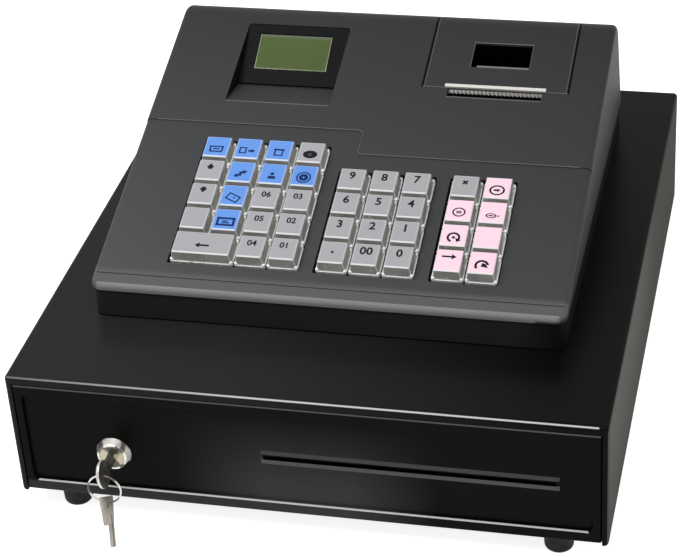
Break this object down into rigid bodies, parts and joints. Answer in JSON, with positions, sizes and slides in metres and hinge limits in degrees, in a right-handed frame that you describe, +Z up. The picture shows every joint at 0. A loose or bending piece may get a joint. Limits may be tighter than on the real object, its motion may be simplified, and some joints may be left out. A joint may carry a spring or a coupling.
{
  "type": "ticket register",
  "caption": "Electronic register with sloped keyboard, recessed display and receipt printer, on a wide steel cash drawer with lock, keys and rubber feet.",
  "frame": {"origin": "on the counter, under the centre of the drawer's case", "axes": "+X to the right of a person who faces the keyboard, +Y towards the back, +Z up"},
  "size_m": [0.41, 0.4936, 0.2177],
  "materials": {
    "case_paint": "satin",
    "foot_rubber": "matte",
    "drawer_steel": "satin",
    "front_plastic": "satin",
    "tray_plastic": "matte",
    "lock_chrome": "polished",
    "plug_steel": "satin",
    "key_steel": "satin",
    "ring_steel": "polished",
    "base_plastic": "satin",
    "cover_plastic": "fine texture",
    "bezel_plastic": "gloss",
    "display_glass": "satin",
    "tear_steel": "satin",
    "paper": "matte",
    "mechanism_plastic": "matte",
    "platen_rubber": "matte",
    "board": "satin",
    "key_blue": "clear edge",
    "key_grey": "clear edge",
    "key_pink": "clear edge"
  },
  "bodies": {
    "register": {"drawer_case": "case_paint", "rubber_feet": "foot_rubber", "register_base": "base_plastic", "register_cover": "cover_plastic", "display_bezel": "bezel_plastic", "lcd_module": "display_glass", "printer_mechanism": "mechanism_plastic", "main_board": "board", "key_guide": "mechanism_plastic"},
    "drawer": {"drawer_box": "drawer_steel", "drawer_front": "front_plastic", "cash_tray": "tray_plastic", "lock_barrel": "lock_chrome"},
    "lock": {"lock_plug": "plug_steel", "lock_key": "key_steel"},
    "key_ring": {"key_ring": "ring_steel"},
    "spare_key": {"spare_key": "key_steel"},
    "lid": {"printer_lid": "cover_plastic", "tear_bar": "tear_steel"},
    "platen": {"platen_roller": "platen_rubber"},
    "paper_roll": {"paper_roll": "paper"},
    "key_function_01": {"key_function_01": "key_blue"},
    "key_function_02": {"key_function_02": "key_blue"},
    "key_function_03": {"key_function_03": "key_blue"},
    "key_function_04": {"key_function_04": "key_grey"},
    "key_function_05": {"key_function_05": "key_grey"},
    "key_function_06": {"key_function_06": "key_blue"},
    "key_function_07": {"key_function_07": "key_blue"},
    "key_function_08": {"key_function_08": "key_blue"},
    "key_function_09": {"key_function_09": "key_grey"},
    "key_function_10": {"key_function_10": "key_blue"},
    "key_function_11": {"key_function_11": "key_grey"},
    "key_function_12": {"key_function_12": "key_grey"},
    "key_function_13": {"key_function_13": "key_grey"},
    "key_function_14": {"key_function_14": "key_blue"},
    "key_function_15": {"key_function_15": "key_grey"},
    "key_function_16": {"key_function_16": "key_grey"},
    "key_function_17": {"key_function_17": "key_grey"},
    "key_function_18": {"key_function_18": "key_grey"},
    "key_function_19": {"key_function_19": "key_grey"},
    "key_number_01": {"key_number_01": "key_grey"},
    "key_number_02": {"key_number_02": "key_grey"},
    "key_number_03": {"key_number_03": "key_grey"},
    "key_number_04": {"key_number_04": "key_grey"},
    "key_number_05": {"key_number_05": "key_grey"},
    "key_number_06": {"key_number_06": "key_grey"},
    "key_number_07": {"key_number_07": "key_grey"},
    "key_number_08": {"key_number_08": "key_grey"},
    "key_number_09": {"key_number_09": "key_grey"},
    "key_number_10": {"key_number_10": "key_grey"},
    "key_number_11": {"key_number_11": "key_grey"},
    "key_number_12": {"key_number_12": "key_grey"},
    "key_control_01": {"key_control_01": "key_grey"},
    "key_control_02": {"key_control_02": "key_pink"},
    "key_control_03": {"key_control_03": "key_pink"},
    "key_control_04": {"key_control_04": "key_pink"},
    "key_control_05": {"key_control_05": "key_pink"},
    "key_control_06": {"key_control_06": "key_pink"},
    "key_control_07": {"key_control_07": "key_pink"},
    "key_control_08": {"key_control_08": "key_pink"}
  },
  "joints": [
    {"name": "drawer_slide", "type": "slide", "parent": "register", "child": "drawer", "axis": [0, -1, 0], "range_m": [0, 0.29]},
    {"name": "lid_hinge", "type": "hinge", "parent": "register", "child": "lid", "pos_m": [0.0866, 0.14938, 0.1975], "axis": [-1, 0, 0], "range_deg": [0, 110]},
    {"name": "lock_turn", "type": "hinge", "parent": "drawer", "child": "lock", "pos_m": [-0.134, -0.227, 0.0535], "axis": [0, 1, 0], "range_deg": [-35, 55]},
    {"name": "ring_swing", "type": "hinge", "parent": "drawer", "child": "key_ring", "pos_m": [-0.134, -0.248, 0.0535], "axis": [-1, 0, 0], "range_deg": [0, 40]},
    {"name": "spare_key_swing", "type": "hinge", "parent": "key_ring", "child": "spare_key", "pos_m": [-0.134, -0.248, 0.0305], "axis": [-1, 0, 0], "range_deg": [0, 50]},
    {"name": "platen_spin", "type": "hinge", "parent": "lid", "child": "platen", "pos_m": [0.0866, 0.06556, 0.1906], "axis": [1, 0, 0], "continuous": true},
    {"name": "paper_roll_spin", "type": "hinge", "parent": "register", "child": "paper_roll", "pos_m": [0.0866, 0.097, 0.1675], "axis": [1, 0, 0], "continuous": true},
    {"name": "press_function_01", "type": "slide", "parent": "register", "child": "key_function_01", "axis": [0, 0.2756, -0.9613], "range_m": [0, 0.0032], "stiffness_N_per_m": 180, "springref_m": -0.001},
    {"name": "press_function_02", "type": "slide", "parent": "register", "child": "key_function_02", "axis": [0, 0.2756, -0.9613], "range_m": [0, 0.0032], "stiffness_N_per_m": 180, "springref_m": -0.001},
    {"name": "press_function_03", "type": "slide", "parent": "register", "child": "key_function_03", "axis": [0, 0.2756, -0.9613], "range_m": [0, 0.0032], "stiffness_N_per_m": 180, "springref_m": -0.001},
    {"name": "press_function_04", "type": "slide", "parent": "register", "child": "key_function_04", "axis": [0, 0.2756, -0.9613], "range_m": [0, 0.0032], "stiffness_N_per_m": 180, "springref_m": -0.001},
    {"name": "press_function_05", "type": "slide", "parent": "register", "child": "key_function_05", "axis": [0, 0.2756, -0.9613], "range_m": [0, 0.0032], "stiffness_N_per_m": 180, "springref_m": -0.001},
    {"name": "press_function_06", "type": "slide", "parent": "register", "child": "key_function_06", "axis": [0, 0.2756, -0.9613], "range_m": [0, 0.0032], "stiffness_N_per_m": 180, "springref_m": -0.001},
    {"name": "press_function_07", "type": "slide", "parent": "register", "child": "key_function_07", "axis": [0, 0.2756, -0.9613], "range_m": [0, 0.0032], "stiffness_N_per_m": 180, "springref_m": -0.001},
    {"name": "press_function_08", "type": "slide", "parent": "register", "child": "key_function_08", "axis": [0, 0.2756, -0.9613], "range_m": [0, 0.0032], "stiffness_N_per_m": 180, "springref_m": -0.001},
    {"name": "press_function_09", "type": "slide", "parent": "register", "child": "key_function_09", "axis": [0, 0.2756, -0.9613], "range_m": [0, 0.0032], "stiffness_N_per_m": 180, "springref_m": -0.001},
    {"name": "press_function_10", "type": "slide", "parent": "register", "child": "key_function_10", "axis": [0, 0.2756, -0.9613], "range_m": [0, 0.0032], "stiffness_N_per_m": 180, "springref_m": -0.001},
    {"name": "press_function_11", "type": "slide", "parent": "register", "child": "key_function_11", "axis": [0, 0.2756, -0.9613], "range_m": [0, 0.0032], "stiffness_N_per_m": 180, "springref_m": -0.001},
    {"name": "press_function_12", "type": "slide", "parent": "register", "child": "key_function_12", "axis": [0, 0.2756, -0.9613], "range_m": [0, 0.0032], "stiffness_N_per_m": 180, "springref_m": -0.001},
    {"name": "press_function_13", "type": "slide", "parent": "register", "child": "key_function_13", "axis": [0, 0.2756, -0.9613], "range_m": [0, 0.0032], "stiffness_N_per_m": 180, "springref_m": -0.001},
    {"name": "press_function_14", "type": "slide", "parent": "register", "child": "key_function_14", "axis": [0, 0.2756, -0.9613], "range_m": [0, 0.0032], "stiffness_N_per_m": 180, "springref_m": -0.001},
    {"name": "press_function_15", "type": "slide", "parent": "register", "child": "key_function_15", "axis": [0, 0.2756, -0.9613], "range_m": [0, 0.0032], "stiffness_N_per_m": 180, "springref_m": -0.001},
    {"name": "press_function_16", "type": "slide", "parent": "register", "child": "key_function_16", "axis": [0, 0.2756, -0.9613], "range_m": [0, 0.0032], "stiffness_N_per_m": 180, "springref_m": -0.001},
    {"name": "press_function_17", "type": "slide", "parent": "register", "child": "key_function_17", "axis": [0, 0.2756, -0.9613], "range_m": [0, 0.0032], "stiffness_N_per_m": 180, "springref_m": -0.001},
    {"name": "press_function_18", "type": "slide", "parent": "register", "child": "key_function_18", "axis": [0, 0.2756, -0.9613], "range_m": [0, 0.0032], "stiffness_N_per_m": 180, "springref_m": -0.001},
    {"name": "press_function_19", "type": "slide", "parent": "register", "child": "key_function_19", "axis": [0, 0.2756, -0.9613], "range_m": [0, 0.0032], "stiffness_N_per_m": 180, "springref_m": -0.001},
    {"name": "press_number_01", "type": "slide", "parent": "register", "child": "key_number_01", "axis": [0, 0.2756, -0.9613], "range_m": [0, 0.0032], "stiffness_N_per_m": 180, "springref_m": -0.001},
    {"name": "press_number_02", "type": "slide", "parent": "register", "child": "key_number_02", "axis": [0, 0.2756, -0.9613], "range_m": [0, 0.0032], "stiffness_N_per_m": 180, "springref_m": -0.001},
    {"name": "press_number_03", "type": "slide", "parent": "register", "child": "key_number_03", "axis": [0, 0.2756, -0.9613], "range_m": [0, 0.0032], "stiffness_N_per_m": 180, "springref_m": -0.001},
    {"name": "press_number_04", "type": "slide", "parent": "register", "child": "key_number_04", "axis": [0, 0.2756, -0.9613], "range_m": [0, 0.0032], "stiffness_N_per_m": 180, "springref_m": -0.001},
    {"name": "press_number_05", "type": "slide", "parent": "register", "child": "key_number_05", "axis": [0, 0.2756, -0.9613], "range_m": [0, 0.0032], "stiffness_N_per_m": 180, "springref_m": -0.001},
    {"name": "press_number_06", "type": "slide", "parent": "register", "child": "key_number_06", "axis": [0, 0.2756, -0.9613], "range_m": [0, 0.0032], "stiffness_N_per_m": 180, "springref_m": -0.001},
    {"name": "press_number_07", "type": "slide", "parent": "register", "child": "key_number_07", "axis": [0, 0.2756, -0.9613], "range_m": [0, 0.0032], "stiffness_N_per_m": 180, "springref_m": -0.001},
    {"name": "press_number_08", "type": "slide", "parent": "register", "child": "key_number_08", "axis": [0, 0.2756, -0.9613], "range_m": [0, 0.0032], "stiffness_N_per_m": 180, "springref_m": -0.001},
    {"name": "press_number_09", "type": "slide", "parent": "register", "child": "key_number_09", "axis": [0, 0.2756, -0.9613], "range_m": [0, 0.0032], "stiffness_N_per_m": 180, "springref_m": -0.001},
    {"name": "press_number_10", "type": "slide", "parent": "register", "child": "key_number_10", "axis": [0, 0.2756, -0.9613], "range_m": [0, 0.0032], "stiffness_N_per_m": 180, "springref_m": -0.001},
    {"name": "press_number_11", "type": "slide", "parent": "register", "child": "key_number_11", "axis": [0, 0.2756, -0.9613], "range_m": [0, 0.0032], "stiffness_N_per_m": 180, "springref_m": -0.001},
    {"name": "press_number_12", "type": "slide", "parent": "register", "child": "key_number_12", "axis": [0, 0.2756, -0.9613], "range_m": [0, 0.0032], "stiffness_N_per_m": 180, "springref_m": -0.001},
    {"name": "press_control_01", "type": "slide", "parent": "register", "child": "key_control_01", "axis": [0, 0.2756, -0.9613], "range_m": [0, 0.0032], "stiffness_N_per_m": 180, "springref_m": -0.001},
    {"name": "press_control_02", "type": "slide", "parent": "register", "child": "key_control_02", "axis": [0, 0.2756, -0.9613], "range_m": [0, 0.0032], "stiffness_N_per_m": 180, "springref_m": -0.001},
    {"name": "press_control_03", "type": "slide", "parent": "register", "child": "key_control_03", "axis": [0, 0.2756, -0.9613], "range_m": [0, 0.0032], "stiffness_N_per_m": 180, "springref_m": -0.001},
    {"name": "press_control_04", "type": "slide", "parent": "register", "child": "key_control_04", "axis": [0, 0.2756, -0.9613], "range_m": [0, 0.0032], "stiffness_N_per_m": 180, "springref_m": -0.001},
    {"name": "press_control_05", "type": "slide", "parent": "register", "child": "key_control_05", "axis": [0, 0.2756, -0.9613], "range_m": [0, 0.0032], "stiffness_N_per_m": 180, "springref_m": -0.001},
    {"name": "press_control_06", "type": "slide", "parent": "register", "child": "key_control_06", "axis": [0, 0.2756, -0.9613], "range_m": [0, 0.0032], "stiffness_N_per_m": 180, "springref_m": -0.001},
    {"name": "press_control_07", "type": "slide", "parent": "register", "child": "key_control_07", "axis": [0, 0.2756, -0.9613], "range_m": [0, 0.0032], "stiffness_N_per_m": 180, "springref_m": -0.001},
    {"name": "press_control_08", "type": "slide", "parent": "register", "child": "key_control_08", "axis": [0, 0.2756, -0.9613], "range_m": [0, 0.0032], "stiffness_N_per_m": 180, "springref_m": -0.001}
  ]
}
